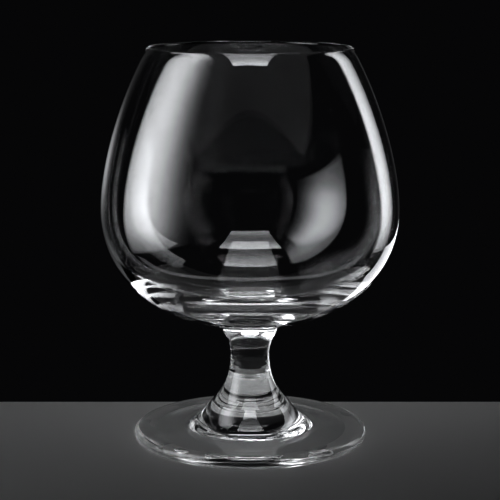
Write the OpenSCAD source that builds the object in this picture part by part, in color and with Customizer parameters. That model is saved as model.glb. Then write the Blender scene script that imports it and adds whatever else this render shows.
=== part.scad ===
// Brandy snifter of clear glass, in millimetres.
// A wide blown bowl narrows to its mouth and stands on a short waisted stem
// and a broad foot. The three are worked hot and fused at two flat seams.
// The foot rests on the XY plane, and Z runs up the middle of the glass.

/* [Bowl] */
// Outer radius of the bowl at its widest
bowl_r = 51; // [45:0.5:60]
// Radius of the mouth, to the middle of the lip
mouth_r = 34.7; // [29:0.1:40]
// Height of the lip above the widest place
mouth_rise = 54.6; // [44:0.2:66]
// Drop from the widest place to the seam with the stem
belly_drop = 39.4; // [32:0.2:48]
// Glass at the lip
lip_wall = 1.1; // [0.8:0.1:2]
// Glass at the widest place
side_wall = 1.3; // [0.8:0.1:2.4]
// Glass over the middle of the stem
base_glass = 6; // [3:0.5:8]
// Lean of the wall at the lip, in degrees from upright
lip_lean = 29; // [18:1:38]
// Rise of the underside as it leaves the stem, in degrees from level
underside_rise = 7.7; // [2:0.1:15]

/* [Stem] */
// Length of the stem between its two seams
stem_l = 28; // [22:0.5:60]
// Radius at the waist
waist_r = 6.7; // [5:0.1:9]
// Height of the waist above the lower seam
waist_up = 16.5; // [10:0.5:18]
// Radius of the seam under the bowl
stem_top_r = 11.6; // [10:0.1:14]
// Radius of the seam on the foot
neck_r = 13.2; // [11:0.1:15]
// Lean of the stem at the seam under the bowl, in degrees from upright
stem_top_lean = 40; // [20:1:55]
// Lean of the stem at the seam on the foot, in degrees from upright
stem_base_lean = 47; // [20:1:55]

/* [Foot] */
// Outer radius of the foot
foot_r = 40.3; // [36:0.1:48]
// Glass at the rounded edge of the foot
foot_edge = 4.2; // [3:0.1:5]
// Height of the upper end of the foot's neck
neck_h = 13; // [10:0.5:18]
// Lean of the neck below the stem, in degrees from upright
neck_lean = 36; // [15:1:45]
// Radius where the neck has run out into the disc
flare_r = 23.3; // [20:0.1:27]
// Height of the disc where the neck runs out
flare_h = 4.9; // [4.6:0.1:6]
// Width of the flat ring that the foot rests on
rest_w = 5.2; // [3:0.1:9]
// Height of the hollow under the middle of the foot
hollow_h = 1.2; // [0.4:0.1:2]

/* [Smoothness] */
// Bands along each curve
curve_bands = 20; // [10:1:40]
// Bands round the lip and round the foot's edge
round_bands = 10; // [6:1:20]
// Sides of each turned form
turn_sides = 96; // [48:12:180]

/* [Hidden] */

stem_z = neck_h;
seam_z = stem_z + stem_l;
belly_z = seam_z + belly_drop;
rim_z = belly_z + mouth_rise;
lip_r = lip_wall / 2;
edge_r = foot_edge / 2;

// Reach of a curve's pull at each of its ends, as a share of the curve's rise or width
shoulder_share = 0.285;
mouth_share = 0.33;
side_share = 0.64;
underside_share = 0.475;
inner_base_share = 0.70;
waist_top_share = 0.33;
stem_top_share = 0.36;
waist_base_share = 0.35;
stem_base_share = 0.42;
neck_share = 0.6;
flare_share = 0.45;

// A point at a distance from another, in a direction given in degrees above level
function beside(from, degrees, distance) =
    from + distance * [cos(degrees), sin(degrees)];

// A smooth curve from a to d that leaves a towards b and reaches d from c
function curve(a, b, c, d) = [
    for (i = [0 : curve_bands])
        let (t = i / curve_bands, u = 1 - t)
        u * u * u * a + 3 * u * u * t * b + 3 * u * t * t * c + t * t * t * d
];

// A run of points round a centre, from one direction to another in degrees
function arc(centre, radius, start, end) = [
    for (i = [0 : round_bands])
        beside(centre, start + (end - start) * i / round_bands, radius)
];

// The points of a list without its last one, which the next list begins with
function but_last(points) = [for (i = [0 : len(points) - 2]) points[i]];

function reversed(points) = [for (i = [len(points) - 1 : -1 : 0]) points[i]];

// The round of the lip sits on the middle of the wall
lip_centre = [mouth_r, rim_z - lip_r];
lip_outside = beside(lip_centre, lip_lean, lip_r);
lip_inside = beside(lip_centre, lip_lean, -lip_r);

// One side of the bowl's wall from its widest place up to the lip
function upper_wall(half_width, lip_point) = let (rise = lip_point[1] - belly_z)
    curve([half_width, belly_z],
          [half_width, belly_z + shoulder_share * rise],
          beside(lip_point, lip_lean - 90, mouth_share * rise),
          lip_point);

// The outside from the seam up to the widest place
function outer_belly() =
    curve([stem_top_r, seam_z],
          beside([stem_top_r, seam_z], underside_rise, underside_share * (bowl_r - stem_top_r)),
          [bowl_r, belly_z - side_share * belly_drop],
          [bowl_r, belly_z]);

// The inside from the widest place down to the middle of the base
function inner_belly() =
    let (half_width = bowl_r - side_wall, floor_z = seam_z + base_glass)
    curve([half_width, belly_z],
          [half_width, belly_z - side_share * (belly_z - floor_z)],
          [inner_base_share * half_width, floor_z],
          [0, floor_z]);

// The blown shell: one closed outline up the outside, over the lip and down the inside
module bowl() {
    color([0.9, 0.94, 0.96, 0.35])
        rotate_extrude($fn = turn_sides)
            polygon(concat(
                [[0, seam_z]],
                but_last(outer_belly()),
                but_last(upper_wall(bowl_r, lip_outside)),
                but_last(arc(lip_centre, lip_r, lip_lean, lip_lean + 180)),
                but_last(reversed(upper_wall(bowl_r - side_wall, lip_inside))),
                inner_belly()
            ));
}

// The waisted stem, flared at both ends to meet the bowl and the foot
module stem() {
    waist = [waist_r, stem_z + waist_up];
    base = [neck_r, stem_z];
    top = [stem_top_r, seam_z];
    top_rise = stem_l - waist_up;
    color([0.88, 0.92, 0.95, 0.35])
        rotate_extrude($fn = turn_sides)
            polygon(concat(
                [[0, stem_z]],
                but_last(curve(
                    base,
                    beside(base, 90 + stem_base_lean, stem_base_share * waist_up),
                    waist - [0, waist_base_share * waist_up],
                    waist
                )),
                curve(
                    waist,
                    waist + [0, waist_top_share * top_rise],
                    beside(top, -90 - stem_top_lean, stem_top_share * top_rise),
                    top
                ),
                [[0, seam_z]]
            ));
}

// The foot: a flared neck, a thin disc with a rounded edge, and a hollow underneath
module foot() {
    neck = [neck_r, neck_h];
    flare = [flare_r, flare_h];
    edge_centre = [foot_r - edge_r, edge_r];
    disc_fall = atan((flare_h - foot_edge) / (foot_r - edge_r - flare_r));
    hollow_edge = foot_r - edge_r - rest_w;
    hollow_r = (hollow_edge * hollow_edge + hollow_h * hollow_h) / (2 * hollow_h);
    hollow_turn = asin(hollow_edge / hollow_r);
    color([0.86, 0.9, 0.94, 0.35])
        rotate_extrude($fn = turn_sides)
            polygon(concat(
                [[0, neck_h]],
                but_last(curve(
                    neck,
                    beside(neck, neck_lean - 90, neck_share * (neck_h - flare_h)),
                    beside(flare, 180 - disc_fall, flare_share * (flare_r - neck_r)),
                    flare
                )),
                arc(edge_centre, edge_r, 90 - disc_fall, -90),
                arc([0, hollow_h - hollow_r], hollow_r, 90 - hollow_turn, 90)
            ));
}

bowl();
stem();
foot();
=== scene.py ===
# %% [markdown]
# # A brandy snifter of clear glass
# A snifter is three pieces of glass that are worked hot and fused: a blown bowl, a short drawn stem and
# a broad foot. All three are turned forms, so each can be described by one outline and one axis.
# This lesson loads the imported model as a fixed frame, lights it as glass is lit in a studio, and then
# builds a fine turned skin for each piece with Geometry Nodes.

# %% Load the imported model
import math

import bpy
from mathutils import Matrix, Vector


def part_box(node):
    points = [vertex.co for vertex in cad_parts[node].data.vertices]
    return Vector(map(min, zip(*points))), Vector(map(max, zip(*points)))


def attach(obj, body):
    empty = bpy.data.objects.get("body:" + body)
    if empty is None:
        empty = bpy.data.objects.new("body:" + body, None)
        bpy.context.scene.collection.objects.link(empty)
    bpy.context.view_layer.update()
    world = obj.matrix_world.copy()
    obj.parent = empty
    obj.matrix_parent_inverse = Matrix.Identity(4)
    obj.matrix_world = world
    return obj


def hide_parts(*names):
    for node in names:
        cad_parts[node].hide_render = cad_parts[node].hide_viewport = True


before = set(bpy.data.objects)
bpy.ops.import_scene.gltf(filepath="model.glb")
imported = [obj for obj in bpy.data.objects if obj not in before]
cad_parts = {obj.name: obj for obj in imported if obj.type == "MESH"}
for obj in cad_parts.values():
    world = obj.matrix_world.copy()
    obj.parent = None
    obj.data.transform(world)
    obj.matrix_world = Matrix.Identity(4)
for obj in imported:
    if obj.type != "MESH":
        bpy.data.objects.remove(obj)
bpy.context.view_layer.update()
scene = bpy.context.scene
MM = 0.001

# %% [markdown]
# ## The camera
# The camera stands where the photographer stood. Its place was worked out from the two ellipses that the
# round rim and the round foot make in the picture: the nearly flat rim says that the lens was only a
# little above it, and the rounder foot says how far away the lens was. A long lens keeps the two sides
# of the bowl upright.

# %% Put the camera in place
CAMERA_DISTANCE = 557.7 * MM
CAMERA_HEIGHT = 168.9 * MM
CAMERA_TILT = math.radians(10.47)
LENS_MM = 119.3
NEAR_CLIP = 10 * MM

camera_data = bpy.data.cameras.new("camera")
camera_data.lens = LENS_MM
camera_data.clip_start = NEAR_CLIP
camera = bpy.data.objects.new("camera", camera_data)
camera.location = (0, -CAMERA_DISTANCE, CAMERA_HEIGHT)
camera.rotation_euler = (math.pi / 2 - CAMERA_TILT, 0, 0)
scene.collection.objects.link(camera)
scene.camera = camera
print("camera is", round(CAMERA_DISTANCE / MM), "mm away and", round(CAMERA_HEIGHT / MM), "mm up")

# %% [markdown]
# ## The table and the dark behind it
# Clear glass has no colour of its own: it is seen by what it bends and mirrors. Photographers show its
# edges by dark-field lighting, with a dark room behind the glass and bright sheets of light beside it.
# The table is plain and pale, and it ends just behind the foot, so that the bowl stands in front of the
# dark.

# %% Lay the table
TABLE_FRONT = -74 * MM
TABLE_BACK = 43 * MM
TABLE_SIDE = 105 * MM
TABLE_THICK = 2 * MM
PALE_PAINT = (0.74, 0.74, 0.73, 1)
PAINT_ROUGHNESS = 0.55
ROOM_DARK = (0.004, 0.004, 0.0045, 1)


def make_table():
    """A pale slab whose top is the plane that the glass stands on."""
    xs = (-TABLE_SIDE, TABLE_SIDE)
    ys = (TABLE_FRONT, TABLE_BACK)
    zs = (-TABLE_THICK, 0)
    corners = [(x, y, z) for z in zs for y in ys for x in xs]
    faces = [(0, 2, 3, 1), (4, 5, 7, 6), (0, 1, 5, 4), (2, 6, 7, 3), (0, 4, 6, 2), (1, 3, 7, 5)]
    mesh = bpy.data.meshes.new("table")
    mesh.from_pydata(corners, [], faces)
    table = bpy.data.objects.new("table", mesh)
    scene.collection.objects.link(table)
    return table


table = make_table()

paint = bpy.data.materials.new("table_paint")
paint.use_nodes = True
paint_shader = paint.node_tree.nodes["Principled BSDF"]
paint_shader.inputs["Base Color"].default_value = PALE_PAINT
paint_shader.inputs["Roughness"].default_value = PAINT_ROUGHNESS
table.data.materials.append(paint)

world = bpy.data.worlds.new("dark room")
world.use_nodes = True
world.node_tree.nodes["Background"].inputs["Color"].default_value = ROOM_DARK
scene.world = world
print("the table ends", round(TABLE_BACK / MM), "mm behind the middle of the glass")

# %% [markdown]
# ## The lights
# Sheets of soft light show in the glass. Each is cloth in a frame with a lamp behind it, so it is
# brightest where the lamp is near and dims away from it. The bowl mirrors that falloff as the soft
# shading inside its highlights, so the sheets get a hot spot here instead of one even value. A light's
# own parametric coordinates run from 0 to 1 across it, which makes the spot easy to place. The edge where
# they start can be dimmed or brightened besides, as a lamp's frame or a second lamp would do it.
# Seen from the side, a sheet stands straight behind the glass and would fill it with flat white. A Light
# Path node counts how often a ray was mirrored on its way to the sheet, so what comes straight through
# the glass, with no mirroring at all, can be held back to a small share.


# %% Link Math nodes and draw a bell curve with them
def math_node(group, operation, first, second=None):
    """A Math node whose inputs are sockets or numbers, and gives its output."""
    node = group.nodes.new("ShaderNodeMath")
    node.operation = operation
    for socket, value in zip(node.inputs, (first, second)):
        if isinstance(value, bpy.types.NodeSocket):
            group.links.new(value, socket)
        elif value is not None:
            socket.default_value = value
    return node.outputs[0]


def bell(tree, along, middle, spread):
    """A bell curve of a coordinate: 1 at the middle, falling off by the spread."""
    offset = math_node(tree, "DIVIDE", math_node(tree, "SUBTRACT", along, middle), spread)
    square = math_node(tree, "MULTIPLY", offset, offset)
    return math_node(tree, "EXPONENT", math_node(tree, "MULTIPLY", square, -0.5))


# %% [markdown]
# A sheet is an area light. Its strength is a product of two bell curves, one across and one up, and of
# the share that may reach the camera. The camera itself doesn't see it, and neither does the table.

# %% Make one sheet of soft light with a hot spot
LAMP_COLOUR = (0.965, 0.975, 1.0)
STRAIGHT_SHARE = 0.03
EVEN_SPREAD = (0.5, 2)


def even_light(peak):
    """The values of a sheet that is nearly as bright all over."""
    return {"peak": peak, "across": EVEN_SPREAD, "up": EVEN_SPREAD, "even": 0.5}


def soft_sheet(name, middle, facing, width, height, hot, straight=STRAIGHT_SHARE):
    """A sheet of light. Its values give the brightness of its hot spot, the spot's place and spread
    across and up, the even share over its height, and how its first edge dims (or brightens, below 0)."""
    data = bpy.data.lights.new(name, "AREA")
    data.shape = "RECTANGLE"
    data.size = width
    data.size_y = height
    data.energy = width * height * math.pi
    data.color = LAMP_COLOUR
    data.use_nodes = True
    tree = data.node_tree
    spot = tree.nodes.new("ShaderNodeSeparateXYZ")
    tree.links.new(tree.nodes.new("ShaderNodeNewGeometry").outputs["Parametric"], spot.inputs[0])
    across = bell(tree, spot.outputs["X"], *hot["across"])
    up = bell(tree, spot.outputs["Y"], *hot["up"])
    up = math_node(tree, "ADD", math_node(tree, "MULTIPLY", up, 1 - hot["even"]), hot["even"])
    first_edge = bell(tree, spot.outputs["Y"], 0, hot.get("edge", 1))
    loss = math_node(tree, "MULTIPLY", first_edge, hot.get("dim", 0))
    up = math_node(tree, "MULTIPLY", up, math_node(tree, "SUBTRACT", 1, loss))
    shape = math_node(tree, "MULTIPLY", math_node(tree, "MULTIPLY", across, up), hot["peak"])
    mirrored = tree.nodes.new("ShaderNodeLightPath").outputs["Glossy Depth"]
    seen = math_node(tree, "MAXIMUM", math_node(tree, "MINIMUM", mirrored, 1), straight)
    shape = math_node(tree, "MULTIPLY", shape, seen)
    tree.links.new(shape, tree.nodes["Emission"].inputs["Strength"])
    light = bpy.data.objects.new(name, data)
    light.location = middle
    light.rotation_euler = Vector(facing).to_track_quat("-Z", "Y").to_euler()
    light.visible_camera = False
    light.visible_diffuse = False
    scene.collection.objects.link(light)
    return light


# %% [markdown]
# Where each sheet stands was worked out backwards. Each corner of a highlight on the bowl is a place
# where the surface mirrors a corner of a sheet, so a ray from the camera, bounced there, has to meet it.
# The left sheet stands upright beside the glass. The right one stands a little behind it on the other
# side and shows as a narrow strip, and the third hangs overhead in front, where the lip and the base of
# the bowl mirror it as small bright windows.

# %% Hang the three main sheets
LEFT_X, LEFT_FRONT, LEFT_BACK, LEFT_TOP = -175 * MM, -190 * MM, 20 * MM, 420 * MM
RIGHT_X, RIGHT_FRONT, RIGHT_BACK = 175 * MM, 44 * MM, 122 * MM
RIGHT_TOP = 280 * MM
OVER_FRONT, OVER_BACK, OVER_HALF, OVER_UP = -415 * MM, -25 * MM, 158 * MM, 600 * MM

left_sheet = soft_sheet(
    "left_sheet", (LEFT_X, (LEFT_FRONT + LEFT_BACK) / 2, LEFT_TOP / 2), (1, 0, 0),
    LEFT_BACK - LEFT_FRONT, LEFT_TOP,
    {"peak": 5.9, "across": (0.33, 0.245), "up": (0.35, 0.35), "even": 0.68,
     "dim": 0.72, "edge": 0.09})
right_sheet = soft_sheet(
    "right_sheet", (RIGHT_X, (RIGHT_FRONT + RIGHT_BACK) / 2, RIGHT_TOP / 2), (-1, 0, 0),
    RIGHT_BACK - RIGHT_FRONT, RIGHT_TOP,
    {"peak": 3.6, "across": (0.0, 0.58), "up": EVEN_SPREAD, "even": 0.8,
     "dim": 0.6, "edge": 0.13})
over_sheet = soft_sheet(
    "over_sheet", (0, (OVER_FRONT + OVER_BACK) / 2, OVER_UP), (0, 0, -1),
    2 * OVER_HALF, OVER_BACK - OVER_FRONT,
    {"peak": 8.2, "across": EVEN_SPREAD, "up": (1.0, 0.2), "even": 0.26,
     "dim": -2.0, "edge": 0.2})
print("main sheets:", [sheet.name for sheet in (left_sheet, right_sheet, over_sheet)])

# %% [markdown]
# Five helpers fill in what the main sheets leave out. A low sheet far behind on the right reaches below
# the table, and the bowl mirrors it as the bright crescent at its lower right. Two upright boards stand
# behind the glass, just beyond the sides of the picture. The wall gathers their light where it turns
# away from the camera, and draws a thin line along its outline: bright on the left, faint on the right.
# A short strip between them, just above the picture, lights the back of the lip. The table has a lamp of
# its own, which the glass doesn't mirror, so that the floor is pale while the glass stays dark.

# %% Add the low sheet, the two boards, the strip and the table's lamp
LOW_X, LOW_FRONT, LOW_BACK, LOW_TOP, LOW_BOTTOM = 175 * MM, 118 * MM, 400 * MM, 4 * MM, -210 * MM
BEHIND, BOARD_TOP, BOARD_BOTTOM = 200 * MM, 240 * MM, -60 * MM
BOARD_NEAR, LEFT_BOARD_FAR, RIGHT_BOARD_FAR = 118 * MM, 230 * MM, 134 * MM
STRIP_HALF, STRIP_TOP, STRIP_BOTTOM = 88 * MM, 178 * MM, 153 * MM
LAMP_BEHIND, LAMP_UP, LAMP_WIDTH, LAMP_DEPTH = 150 * MM, 200 * MM, 300 * MM, 100 * MM

low_sheet = soft_sheet(
    "low_sheet", (LOW_X, (LOW_FRONT + LOW_BACK) / 2, (LOW_TOP + LOW_BOTTOM) / 2), (-1, 0, 0),
    LOW_BACK - LOW_FRONT, LOW_TOP - LOW_BOTTOM,
    even_light(2.7))
low_sheet.visible_transmission = False
left_board = soft_sheet(
    "left_board", (-(BOARD_NEAR + LEFT_BOARD_FAR) / 2, BEHIND, (BOARD_TOP + BOARD_BOTTOM) / 2),
    (0, -1, 0), LEFT_BOARD_FAR - BOARD_NEAR, BOARD_TOP - BOARD_BOTTOM,
    {"peak": 0.42, "across": (0.32, 0.3), "up": (0.48, 0.072), "even": 0.1,
     "dim": -6.5, "edge": 0.13})
right_board = soft_sheet(
    "right_board", ((BOARD_NEAR + RIGHT_BOARD_FAR) / 2, BEHIND, (BOARD_TOP + BOARD_BOTTOM) / 2),
    (0, -1, 0), RIGHT_BOARD_FAR - BOARD_NEAR, BOARD_TOP - BOARD_BOTTOM,
    even_light(0.07))
back_strip = soft_sheet(
    "back_strip", (0, BEHIND, (STRIP_TOP + STRIP_BOTTOM) / 2), (0, -1, 0),
    2 * STRIP_HALF, STRIP_TOP - STRIP_BOTTOM, even_light(0.9))
table_lamp = soft_sheet(
    "table_lamp", (0, LAMP_BEHIND, LAMP_UP), (0, 0, -1), LAMP_WIDTH, LAMP_DEPTH,
    even_light(1.2), straight=1)
table_lamp.data.use_shadow = False
table_lamp.visible_diffuse = True
table_lamp.visible_glossy = False
table_lamp.visible_transmission = False
helpers = (low_sheet, left_board, right_board, back_strip, table_lamp)
print("helpers:", [helper.name for helper in helpers])

# %% [markdown]
# ## A turned stretch as a node group
# A lathe turns an outline round an axis. Here one stretch of the outline is a Bezier segment, and a flat
# grid is bent onto it: the rows of the grid follow the outline, and its columns go round. Each stretch
# has its own number of bands, so the tight lip can be finer than the long wall. The same group serves
# every stretch of every piece.

# %% Build the node group for one turned stretch
SEAM_MARK = "fused_seam"
OUTLINE_STEPS = 256


def new_group(name, inputs, outputs):
    """An empty Geometry Nodes group with its inputs and outputs."""
    group = bpy.data.node_groups.new(name, "GeometryNodeTree")
    for title, kind in inputs:
        group.interface.new_socket(title, in_out="INPUT", socket_type="NodeSocket" + kind)
    for title, kind in outputs:
        group.interface.new_socket(title, in_out="OUTPUT", socket_type="NodeSocket" + kind)
    return group


def turned_stretch_group():
    """Turns one Bezier segment, given as points (radius, 0, height), round the Z axis."""
    group = new_group(
        "turned stretch",
        [("Start", "Vector"), ("Start pull", "Vector"), ("End pull", "Vector"), ("End", "Vector"),
         ("Bands", "Int"), ("Sides", "Int"), ("Seam", "Bool")],
        [("Skin", "Geometry")],
    )
    nodes, links = group.nodes, group.links
    given = nodes.new("NodeGroupInput").outputs
    segment = nodes.new("GeometryNodeCurvePrimitiveBezierSegment")
    segment.mode = "POSITION"
    segment.inputs["Resolution"].default_value = OUTLINE_STEPS
    for title, socket in (("Start", "Start"), ("Start pull", "Start Handle"),
                          ("End pull", "End Handle"), ("End", "End")):
        links.new(given[title], segment.inputs[socket])

    grid = nodes.new("GeometryNodeMeshGrid")
    rows = math_node(group, "ADD", given["Bands"], 1)
    columns = math_node(group, "ADD", given["Sides"], 1)
    links.new(rows, grid.inputs["Vertices X"])
    links.new(columns, grid.inputs["Vertices Y"])
    index = nodes.new("GeometryNodeInputIndex").outputs[0]
    row = math_node(group, "DIVIDE", math_node(group, "ADD", index, 0.5), columns)
    row = math_node(group, "FLOOR", row)
    column = math_node(group, "SUBTRACT", index, math_node(group, "MULTIPLY", row, columns))
    along = math_node(group, "DIVIDE", row, given["Bands"])
    turn = math_node(group, "MULTIPLY", math_node(group, "DIVIDE", column, given["Sides"]), math.tau)

    outline = nodes.new("GeometryNodeSampleCurve")
    outline.mode = "FACTOR"
    links.new(segment.outputs[0], outline.inputs["Curves"])
    links.new(along, outline.inputs["Factor"])
    point = nodes.new("ShaderNodeSeparateXYZ")
    links.new(outline.outputs["Position"], point.inputs[0])
    place = nodes.new("ShaderNodeCombineXYZ")
    radius = point.outputs["X"]
    links.new(math_node(group, "MULTIPLY", radius, math_node(group, "COSINE", turn)), place.inputs["X"])
    links.new(math_node(group, "MULTIPLY", radius, math_node(group, "SINE", turn)), place.inputs["Y"])
    links.new(point.outputs["Z"], place.inputs["Z"])

    bent = nodes.new("GeometryNodeSetPosition")
    links.new(grid.outputs["Mesh"], bent.inputs["Geometry"])
    links.new(place.outputs[0], bent.inputs["Position"])
    outward = nodes.new("GeometryNodeFlipFaces")
    links.new(bent.outputs[0], outward.inputs[0])
    mark = nodes.new("GeometryNodeStoreNamedAttribute")
    mark.data_type = "BOOLEAN"
    mark.domain = "FACE"
    mark.inputs["Name"].default_value = SEAM_MARK
    links.new(outward.outputs[0], mark.inputs["Geometry"])
    links.new(given["Seam"], mark.inputs["Value"])
    links.new(mark.outputs[0], nodes.new("NodeGroupOutput").inputs["Skin"])
    return group


turned_stretch = turned_stretch_group()
print("node group:", turned_stretch.name, "with", len(turned_stretch.nodes), "nodes")

# %% [markdown]
# ## A whole turned piece
# The stretches of one outline are joined, and the rows where they meet are merged, so that the skin is
# closed. Rings that lie on the axis merge into a pole. Where the outline turns sharply, as at a seam,
# the edge is marked sharp, so that the smooth shading of the wall doesn't bleed round the corner: a
# glass wall bends light by its shading normals, and a wrong one shows.
# A faint waviness is pushed into the surface along its normals, because glass that was worked by hand
# or blown into a mould is never perfectly even.

# %% Build the tree of a turned piece
MERGE_GAP = 0.0005 * MM
SHARP_ANGLE = math.radians(25)


def seam_marks(group):
    """The mark that tells which faces lie inside a fused seam."""
    marked = group.nodes.new("GeometryNodeInputNamedAttribute")
    marked.data_type = "BOOLEAN"
    marked.inputs["Name"].default_value = SEAM_MARK
    return marked.outputs["Attribute"]


def piece_tree(name, stretches):
    """A tree that turns the stretches, with one named input for each corner, pull and count."""
    corners = [s["title"] + " start" for s in stretches] + [stretches[-1]["title"] + " end"]
    inputs = [("Geometry", "Geometry")]
    inputs += [(corner, "Vector") for corner in corners]
    for s in stretches:
        inputs += [(s["title"] + " first pull", "Vector"), (s["title"] + " last pull", "Vector"),
                   (s["title"] + " bands", "Int")]
    inputs += [("Sides", "Int"), ("Wave size", "Float"), ("Wave height", "Float"),
               ("Ring pitch", "Float"), ("Ring height", "Float"), ("Ring low", "Float"),
               ("Ring high", "Float"), ("Glass", "Material"), ("Inside glass", "Material")]
    group = new_group(name, inputs, [("Geometry", "Geometry")])
    nodes, links = group.nodes, group.links
    given = nodes.new("NodeGroupInput").outputs

    join = nodes.new("GeometryNodeJoinGeometry")
    for i, s in enumerate(stretches):
        turned = nodes.new("GeometryNodeGroup")
        turned.node_tree = turned_stretch
        for title, source in (("Start", corners[i]), ("Start pull", s["title"] + " first pull"),
                              ("End pull", s["title"] + " last pull"), ("End", corners[i + 1]),
                              ("Bands", s["title"] + " bands"), ("Sides", "Sides")):
            links.new(given[source], turned.inputs[title])
        turned.inputs["Seam"].default_value = s["seam"]
        links.new(turned.outputs[0], join.inputs[0])

    merge = nodes.new("GeometryNodeMergeByDistance")
    merge.inputs["Distance"].default_value = MERGE_GAP
    links.new(join.outputs[0], merge.inputs["Geometry"])
    smooth = nodes.new("GeometryNodeSetShadeSmooth")
    links.new(merge.outputs[0], smooth.inputs["Geometry"])
    angle = nodes.new("GeometryNodeInputMeshEdgeAngle")
    corner = nodes.new("GeometryNodeSetShadeSmooth")
    corner.domain = "EDGE"
    corner.inputs["Shade Smooth"].default_value = False
    links.new(smooth.outputs[0], corner.inputs["Geometry"])
    steep = math_node(group, "GREATER_THAN", angle.outputs["Unsigned Angle"], SHARP_ANGLE)
    sharp = nodes.new("FunctionNodeBooleanMath")
    sharp.operation = "OR"
    links.new(steep, sharp.inputs[0])
    links.new(seam_marks(group), sharp.inputs[1])
    links.new(sharp.outputs[0], corner.inputs["Selection"])
    worked = uneven_surface(group, corner.outputs[0], given)

    real = nodes.new("GeometryNodeRealizeInstances")
    links.new(worked, real.inputs[0])
    coat = nodes.new("GeometryNodeSetMaterial")
    links.new(real.outputs[0], coat.inputs["Geometry"])
    links.new(given["Glass"], coat.inputs["Material"])
    seam_coat = nodes.new("GeometryNodeSetMaterial")
    links.new(coat.outputs[0], seam_coat.inputs["Geometry"])
    links.new(seam_marks(group), seam_coat.inputs["Selection"])
    links.new(given["Inside glass"], seam_coat.inputs["Material"])
    links.new(seam_coat.outputs[0], nodes.new("NodeGroupOutput").inputs[0])
    return group


def uneven_surface(group, skin, given):
    """Pushes waves and drawing rings into a skin, but leaves the flat seams true."""
    nodes, links = group.nodes, group.links
    place = nodes.new("GeometryNodeInputPosition").outputs[0]
    normal = nodes.new("GeometryNodeInputNormal").outputs[0]
    height = nodes.new("ShaderNodeSeparateXYZ")
    links.new(place, height.inputs[0])
    z = height.outputs["Z"]

    waves = nodes.new("ShaderNodeTexNoise")
    waves.inputs["Detail"].default_value = 1
    links.new(place, waves.inputs["Vector"])
    links.new(math_node(group, "DIVIDE", 1, given["Wave size"]), waves.inputs["Scale"])
    wave = math_node(group, "MULTIPLY", math_node(group, "SUBTRACT", waves.outputs["Fac"], 0.5),
                     given["Wave height"])

    up = math_node(group, "SUBTRACT", z, given["Ring low"])
    span = math_node(group, "SUBTRACT", given["Ring high"], given["Ring low"])
    share = math_node(group, "DIVIDE", up, span)
    inside = math_node(group, "MULTIPLY", math_node(group, "GREATER_THAN", share, 0),
                       math_node(group, "LESS_THAN", share, 1))
    swell = math_node(group, "SINE", math_node(group, "MULTIPLY", share, math.pi))
    swell = math_node(group, "MULTIPLY", inside, swell)
    turns = math_node(group, "MULTIPLY", math_node(group, "DIVIDE", up, given["Ring pitch"]), math.tau)
    ring = math_node(group, "MULTIPLY", math_node(group, "SINE", turns), swell)
    ring = math_node(group, "MULTIPLY", ring, given["Ring height"])

    push = nodes.new("ShaderNodeVectorMath")
    push.operation = "SCALE"
    links.new(normal, push.inputs[0])
    links.new(math_node(group, "ADD", wave, ring), push.inputs["Scale"])
    free = nodes.new("FunctionNodeBooleanMath")
    free.operation = "NOT"
    links.new(seam_marks(group), free.inputs[0])
    pushed = nodes.new("GeometryNodeSetPosition")
    links.new(skin, pushed.inputs["Geometry"])
    links.new(free.outputs[0], pushed.inputs["Selection"])
    links.new(push.outputs[0], pushed.inputs["Offset"])
    return pushed.outputs[0]


# %% [markdown]
# ## Sizes and outlines
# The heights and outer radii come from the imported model, so the skins fit it. The rest are the sizes of
# a real snifter of this kind: a lip a little over a millimetre thick, a wall that grows towards the
# base, and a lens of glass over the stem. The model's wall runs straight into its lip. On the real one
# the last 4 mm curl inwards a little more, as fire-polished lips do, and that curl is drawn here, because
# it decides how the tops of the highlights bend.

# %% Read the sizes from the frame
bowl_low, bowl_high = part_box("bowl")
stem_low, stem_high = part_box("stem")
foot_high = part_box("foot")[1]
SEAM_UP, RIM_UP, BOWL_R = bowl_low.z, bowl_high.z, bowl_high.x
NECK_UP, NECK_R, FOOT_R = stem_low.z, stem_high.x, foot_high.x

BELLY_DROP = 39.4 * MM
BELLY_UP = SEAM_UP + BELLY_DROP
MOUTH_R, LIP_LEAN = 34.35 * MM, 41
CURL_LEAN, CURL_PULL, LIP_PULL = 26.8, 1.5 * MM, 1.1 * MM
CURL_OUT_R, CURL_OUT_DROP = 37.05 * MM, 3.8 * MM
CURL_IN_R, CURL_IN_DROP = 36.06 * MM, 4.3 * MM
SHOULDER_SHARE, CURL_SHARE = 0.283, 0.341
LIP_WALL, SIDE_WALL, BASE_GLASS = 1.1 * MM, 1.3 * MM, 6 * MM
UNDERSIDE_RISE, UNDERSIDE_SHARE, SIDE_SHARE = 7.7, 0.475, 0.64
INNER_SIDE_SHARE, INNER_FLOOR_SHARE = 0.64, 0.70
STEM_TOP_R, WAIST_R, WAIST_UP = 11.6 * MM, 6.7 * MM, NECK_UP + 16.5 * MM
STEM_BASE_LEAN, STEM_BASE_SHARE, WAIST_BASE_SHARE = 47, 0.42, 0.35
STEM_TOP_LEAN, STEM_TOP_SHARE, WAIST_TOP_SHARE = 40, 0.36, 0.33
FOOT_EDGE, FLARE_R, FLARE_UP = 4.2 * MM, 23.3 * MM, 4.9 * MM
NECK_LEAN, NECK_SHARE, FLARE_SHARE = 36, 0.6, 0.45
REST_W, HOLLOW = 5.2 * MM, 1.2 * MM
print("seams at", [round(up / MM, 1) for up in (NECK_UP, SEAM_UP)], "mm, rim at", round(RIM_UP / MM, 1))


def at(radius, height):
    """A point of an outline, as the node group wants it."""
    return Vector((radius, 0, height))


def beside(point, degrees, distance):
    """A point at a distance from another, in degrees above level."""
    turn = math.radians(degrees)
    return point + at(math.cos(turn), math.sin(turn)) * distance


def stretch(title, start, first_pull, last_pull, end, bands, seam=False):
    """One curved stretch of an outline."""
    return {"title": title, "points": (start, first_pull, last_pull, end), "bands": bands, "seam": seam}


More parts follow.
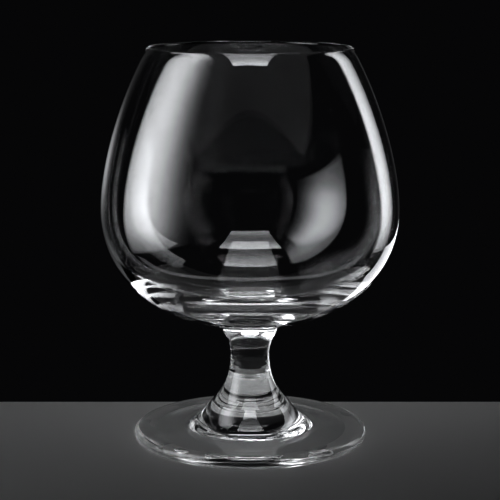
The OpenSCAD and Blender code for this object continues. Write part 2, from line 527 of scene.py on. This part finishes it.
def straight(title, start, end, bands, seam=False):
    """A straight stretch: its pulls lie a third of the way in from each end."""
    return stretch(title, start, start.lerp(end, 1 / 3), start.lerp(end, 2 / 3), end, bands, seam)


def round_stretch(title, centre, radius, start, end, bands):
    """An arc of up to a quarter turn, drawn by a Bezier segment."""
    reach = 4 / 3 * math.tan(math.radians(end - start) / 4) * radius
    first, last = beside(centre, start, radius), beside(centre, end, radius)
    first_pull, last_pull = beside(first, start + 90, reach), beside(last, end + 90, -reach)
    return stretch(title, first, first_pull, last_pull, last, bands)


def turn_piece(name, stretches, sides, glass, waves, rings):
    """Makes one closed turned skin and gives it as a plain mesh object."""
    tree = piece_tree(name + " tree", stretches)
    carrier = bpy.data.objects.new(name, bpy.data.meshes.new(name))
    scene.collection.objects.link(carrier)
    modifier = carrier.modifiers.new("turned", "NODES")
    modifier.node_group = tree
    items = tree.interface.items_tree
    sockets = {item.name: item.identifier for item in items if item.in_out == "INPUT"}
    values = {"Sides": sides, "Glass": glass, "Inside glass": inside_glass}
    values.update(waves)
    values.update(rings)
    for s in stretches:
        values[s["title"] + " start"] = s["points"][0]
        values[s["title"] + " first pull"] = s["points"][1]
        values[s["title"] + " last pull"] = s["points"][2]
        values[s["title"] + " bands"] = s["bands"]
    values[stretches[-1]["title"] + " end"] = stretches[-1]["points"][3]
    for title, value in values.items():
        modifier[sockets[title]] = value
    evaluated = carrier.evaluated_get(bpy.context.evaluated_depsgraph_get())
    mesh = bpy.data.meshes.new_from_object(evaluated)
    carrier.modifiers.remove(modifier)
    mesh.materials.pop(index=0)
    mesh.name = name
    carrier.data = mesh
    triangles = sum(len(face.vertices) - 2 for face in mesh.polygons)
    print(name, "has", len(mesh.vertices), "points and", triangles, "triangles")
    return carrier


# %% [markdown]
# ## The glass
# Clear soda glass bends light by an index of about 1.52. A single perfect glass looks like a drawing,
# so two things change over it: a very faint waviness of the fire-polished skin, which makes the edges of
# highlights live, and a trace of handling that dulls the shine a little in places. Both come from one
# group, which each glass uses with its own values.


# %% Build the group for a fire-polished skin
MARKS_BEGIN, MARKS_FULL = 0.5, 0.75


def skin_group():
    """Gives a height for faint waves, a roughness for handling marks and a near-white tint."""
    group = bpy.data.node_groups.new("fire polished skin", "ShaderNodeTree")
    for title in ("Wave size", "Handling size", "Clean roughness", "Marked roughness"):
        group.interface.new_socket(title, in_out="INPUT", socket_type="NodeSocketFloat")
    for title in ("Thin tint", "Thick tint"):
        group.interface.new_socket(title, in_out="INPUT", socket_type="NodeSocketColor")
    group.interface.new_socket("Height", in_out="OUTPUT", socket_type="NodeSocketFloat")
    group.interface.new_socket("Roughness", in_out="OUTPUT", socket_type="NodeSocketFloat")
    group.interface.new_socket("Tint", in_out="OUTPUT", socket_type="NodeSocketColor")
    nodes, links = group.nodes, group.links
    given = nodes.new("NodeGroupInput").outputs
    out = nodes.new("NodeGroupOutput").inputs
    place = nodes.new("ShaderNodeTexCoord").outputs["Object"]

    waves = nodes.new("ShaderNodeTexNoise")
    waves.inputs["Detail"].default_value = 1
    links.new(place, waves.inputs["Vector"])
    links.new(math_node(group, "DIVIDE", 1, given["Wave size"]), waves.inputs["Scale"])
    links.new(waves.outputs["Fac"], out["Height"])

    marks = nodes.new("ShaderNodeTexNoise")
    marks.inputs["Detail"].default_value = 5
    links.new(place, marks.inputs["Vector"])
    links.new(math_node(group, "DIVIDE", 1, given["Handling size"]), marks.inputs["Scale"])
    marked = nodes.new("ShaderNodeMapRange")
    marked.inputs["From Min"].default_value = MARKS_BEGIN
    marked.inputs["From Max"].default_value = MARKS_FULL
    links.new(marks.outputs["Fac"], marked.inputs["Value"])
    links.new(given["Clean roughness"], marked.inputs["To Min"])
    links.new(given["Marked roughness"], marked.inputs["To Max"])
    links.new(marked.outputs[0], out["Roughness"])

    tint = nodes.new("ShaderNodeMix")
    tint.data_type = "RGBA"
    links.new(marks.outputs["Fac"], tint.inputs[0])
    links.new(given["Thin tint"], tint.inputs[6])
    links.new(given["Thick tint"], tint.inputs[7])
    links.new(tint.outputs[2], out["Tint"])
    return group


fire_polished_skin = skin_group()
print("shader group:", fire_polished_skin.name, "with", len(fire_polished_skin.nodes), "nodes")

# %% [markdown]
# The three glasses share that group. The blown bowl has the widest waves, the drawn stem the closest.
# Light goes a longer way in the solid stem and foot, so their tint is a trace deeper.

# %% Make the three glasses
GLASS_INDEX = 1.52
SKIN_WAVE_HEIGHT = 0.01 * MM
HANDLING_SIZE, CLEAN_ROUGHNESS, MARKED_ROUGHNESS = 26 * MM, 0.0, 0.03
NO_TINT, BOWL_TINT, SOLID_TINT = (1, 1, 1, 1), (0.985, 0.993, 0.995, 1), (0.97, 0.985, 0.99, 1)


def glass_material(name, wave_size, thick_tint):
    """Clear glass with a fire-polished skin."""
    material = bpy.data.materials.new(name)
    material.use_nodes = True
    nodes, links = material.node_tree.nodes, material.node_tree.links
    shader = nodes["Principled BSDF"]
    shader.inputs["Transmission Weight"].default_value = 1
    shader.inputs["IOR"].default_value = GLASS_INDEX
    skin = nodes.new("ShaderNodeGroup")
    skin.node_tree = fire_polished_skin
    skin.inputs["Wave size"].default_value = wave_size
    skin.inputs["Handling size"].default_value = HANDLING_SIZE
    skin.inputs["Clean roughness"].default_value = CLEAN_ROUGHNESS
    skin.inputs["Marked roughness"].default_value = MARKED_ROUGHNESS
    skin.inputs["Thin tint"].default_value = NO_TINT
    skin.inputs["Thick tint"].default_value = thick_tint
    bump = nodes.new("ShaderNodeBump")
    bump.inputs["Distance"].default_value = SKIN_WAVE_HEIGHT
    bump.inputs["Strength"].default_value = 1
    links.new(skin.outputs["Height"], bump.inputs["Height"])
    links.new(bump.outputs[0], shader.inputs["Normal"])
    links.new(skin.outputs["Roughness"], shader.inputs["Roughness"])
    links.new(skin.outputs["Tint"], shader.inputs["Base Color"])
    return material


bowl_glass = glass_material("blown_bowl_glass", 14 * MM, BOWL_TINT)
stem_glass = glass_material("drawn_stem_glass", 6 * MM, SOLID_TINT)
foot_glass = glass_material("opened_foot_glass", 10 * MM, SOLID_TINT)
print("glasses:", [glass.name for glass in (bowl_glass, stem_glass, foot_glass)])

# %% [markdown]
# Where two pieces are fused there is no surface left inside the glass. The meshes still have to be
# closed there, so the two discs that meet get a material that light goes straight through. Without it
# each seam would act as a mirror inside the stem.

# %% Make the inside of a fused seam vanish
inside_glass = bpy.data.materials.new("inside_glass")
inside_glass.use_nodes = True
inside_glass.node_tree.nodes["Principled BSDF"].inputs["Alpha"].default_value = 0
print("seam material:", inside_glass.name)

# %% [markdown]
# ## The bowl
# The bowl is blown, so its outside and inside are two different curves: the wall is thinnest at the lip
# and grows to a lens over the stem. The outline starts at the seam, climbs the outside, curls in to the
# fire-polished lip, rolls over it and comes down the inside to the middle of the base. Each stretch has
# enough bands for its length and its bend: the glass bends light, so a coarse skin would show as facets.

# %% Turn the bowl
SEAM_BANDS, BELLY_BANDS, SHOULDER_BANDS, CURL_BANDS, LIP_BANDS = 2, 84, 72, 14, 9
BOWL_SIDES = 250
BOWL_WAVES = {"Wave size": 30 * MM, "Wave height": 0.006 * MM}
NO_RINGS = {"Ring pitch": 1, "Ring high": 1}


def bowl_outline():
    """The closed outline of the bowl, from the seam's middle up, over and down to the base."""
    seam = at(STEM_TOP_R, SEAM_UP)
    lip = at(MOUTH_R, RIM_UP - LIP_WALL / 2)
    lip_out, lip_in = beside(lip, LIP_LEAN, LIP_WALL / 2), beside(lip, LIP_LEAN, -LIP_WALL / 2)
    belly_out, belly_in = at(BOWL_R, BELLY_UP), at(BOWL_R - SIDE_WALL, BELLY_UP)
    floor = at(0, SEAM_UP + BASE_GLASS)
    drop_out, drop_in = BELLY_UP - SEAM_UP, BELLY_UP - floor.z
    curl_out, curl_in = at(CURL_OUT_R, RIM_UP - CURL_OUT_DROP), at(CURL_IN_R, RIM_UP - CURL_IN_DROP)
    rise_out, rise_in = curl_out.z - BELLY_UP, curl_in.z - BELLY_UP
    return [
        straight("Seam", at(0, SEAM_UP), seam, SEAM_BANDS, seam=True),
        stretch("Underside", seam, beside(seam, UNDERSIDE_RISE, UNDERSIDE_SHARE * (BOWL_R - STEM_TOP_R)),
                belly_out - at(0, SIDE_SHARE * drop_out), belly_out, BELLY_BANDS),
        stretch("Shoulder", belly_out, belly_out + at(0, SHOULDER_SHARE * rise_out),
                beside(curl_out, CURL_LEAN - 90, CURL_SHARE * rise_out), curl_out, SHOULDER_BANDS),
        stretch("Curl", curl_out, beside(curl_out, CURL_LEAN + 90, CURL_PULL),
                beside(lip_out, LIP_LEAN - 90, LIP_PULL), lip_out, CURL_BANDS),
        round_stretch("Lip outside", lip, LIP_WALL / 2, LIP_LEAN, LIP_LEAN + 90, LIP_BANDS),
        round_stretch("Lip inside", lip, LIP_WALL / 2, LIP_LEAN + 90, LIP_LEAN + 180, LIP_BANDS),
        stretch("Inner curl", lip_in, beside(lip_in, LIP_LEAN - 90, LIP_PULL),
                beside(curl_in, CURL_LEAN + 90, CURL_PULL), curl_in, CURL_BANDS),
        stretch("Inner shoulder", curl_in, beside(curl_in, CURL_LEAN - 90, CURL_SHARE * rise_in),
                belly_in + at(0, SHOULDER_SHARE * rise_in), belly_in, SHOULDER_BANDS),
        stretch("Inner belly", belly_in, belly_in - at(0, INNER_SIDE_SHARE * drop_in),
                floor + at(INNER_FLOOR_SHARE * belly_in.x, 0), floor, BELLY_BANDS),
    ]


bowl = turn_piece("snifter_bowl", bowl_outline(), BOWL_SIDES, bowl_glass, BOWL_WAVES, NO_RINGS)

# %% [markdown]
# ## The stem
# The stem is drawn from hot glass, which leaves it slim in the middle and flared at both ends. Drawing
# also leaves faint rings round its lower flare, and these bend whatever is seen through them.

# %% Turn the stem
LOWER_FLARE_BANDS, UPPER_FLARE_BANDS = 150, 90
STEM_SIDES = 180
STEM_WAVES = {"Wave size": 12 * MM, "Wave height": 0.015 * MM}
STEM_RINGS = {"Ring pitch": 2.0 * MM, "Ring height": 0.02 * MM,
              "Ring low": NECK_UP + 3.5 * MM, "Ring high": WAIST_UP}


def stem_outline():
    """The closed outline of the stem, from the foot's seam up to the bowl's seam."""
    base, waist, top = at(NECK_R, NECK_UP), at(WAIST_R, WAIST_UP), at(STEM_TOP_R, SEAM_UP)
    low, high = WAIST_UP - NECK_UP, SEAM_UP - WAIST_UP
    return [
        straight("Foot seam", at(0, NECK_UP), base, SEAM_BANDS, seam=True),
        stretch("Lower flare", base, beside(base, 90 + STEM_BASE_LEAN, STEM_BASE_SHARE * low),
                waist - at(0, WAIST_BASE_SHARE * low), waist, LOWER_FLARE_BANDS),
        stretch("Upper flare", waist, waist + at(0, WAIST_TOP_SHARE * high),
                beside(top, -90 - STEM_TOP_LEAN, STEM_TOP_SHARE * high), top, UPPER_FLARE_BANDS),
        straight("Bowl seam", top, at(0, SEAM_UP), SEAM_BANDS, seam=True),
    ]


stem = turn_piece("snifter_stem", stem_outline(), STEM_SIDES, stem_glass, STEM_WAVES, STEM_RINGS)

# %% [markdown]
# ## The foot
# The foot is a gather of glass that is opened flat: a steep neck under the stem flares into a thin disc
# with a round edge. Its underside is a little hollow, so that it stands on a ring and doesn't rock.

# %% Turn the foot
HOLLOW_BANDS, REST_BANDS, EDGE_BANDS, DISC_BANDS, NECK_BANDS = 40, 4, 20, 26, 70
FOOT_SIDES = 250
FOOT_WAVES = {"Wave size": 25 * MM, "Wave height": 0.02 * MM}


def foot_outline():
    """The closed outline of the foot, from the hollow's middle out to the edge and up to the neck."""
    edge_r = FOOT_EDGE / 2
    neck, flare = at(NECK_R, NECK_UP), at(FLARE_R, FLARE_UP)
    edge = at(FOOT_R - edge_r, edge_r)
    fall = math.degrees(math.atan((FLARE_UP - FOOT_EDGE) / (edge.x - FLARE_R)))
    ring = at(edge.x - REST_W, 0)
    middle = at(0, HOLLOW)
    half = math.degrees(math.atan(HOLLOW / ring.x))
    hollow_r = (ring.x ** 2 + HOLLOW ** 2) / (2 * HOLLOW)
    reach = 4 / 3 * math.tan(math.radians(half) / 2) * hollow_r
    edge_top = beside(edge, 90 - fall, edge_r)
    return [
        stretch("Hollow", middle, middle + at(reach, 0), beside(ring, 180 - 2 * half, reach), ring,
                HOLLOW_BANDS),
        straight("Rest ring", ring, at(edge.x, 0), REST_BANDS),
        round_stretch("Edge below", edge, edge_r, -90, 0, EDGE_BANDS),
        round_stretch("Edge above", edge, edge_r, 0, 90 - fall, EDGE_BANDS),
        straight("Disc", edge_top, flare, DISC_BANDS),
        stretch("Neck", flare, beside(flare, 180 - fall, FLARE_SHARE * (FLARE_R - NECK_R)),
                beside(neck, NECK_LEAN - 90, NECK_SHARE * (NECK_UP - FLARE_UP)), neck, NECK_BANDS),
        straight("Neck seam", neck, at(0, NECK_UP), SEAM_BANDS, seam=True),
    ]


foot = turn_piece("snifter_foot", foot_outline(), FOOT_SIDES, foot_glass, FOOT_WAVES, NO_RINGS)

# %% [markdown]
# ## Hand the pieces to the frame
# Each skin takes the place of its CAD node, which is hidden, and moves with the one rigid body, because a
# fused glass has no joints.

# %% Attach each piece to the body and hide its CAD part
for piece, node, slot_name in ((bowl, "bowl", "bowl_glass"), (stem, "stem", "stem_glass"),
                               (foot, "foot", "foot_glass")):
    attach(piece, "root")
    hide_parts(node)
    print(piece.name, "stands for", node, "in", slot_name)

# %% [markdown]
# ## How far the light may travel, and the picture's tones
# A ray that enters the foot can cross a dozen glass surfaces before it leaves. The default limit would
# stop it early and leave black patches, so more bounces are allowed.
# A studio photograph has deeper darks than a plain record of the light. A display gamma below 1, with a
# little more exposure, deepens the faint mirrorings in the glass and leaves the highlights bright.

# %% Set the light paths and the picture's tones
MOST_SURFACES, MOST_MIRRORINGS, MOST_SEAMS = 28, 16, 24
DEEP_GAMMA, MORE_EXPOSURE = 0.75, 0.3

scene.cycles.max_bounces = MOST_SURFACES
scene.cycles.transmission_bounces = MOST_SURFACES
scene.cycles.glossy_bounces = MOST_MIRRORINGS
scene.cycles.transparent_max_bounces = MOST_SEAMS
scene.cycles.use_denoising = True
scene.view_settings.view_transform = "Standard"
scene.view_settings.gamma = DEEP_GAMMA
scene.view_settings.exposure = MORE_EXPOSURE
print("a ray may cross", scene.cycles.max_bounces, "surfaces")
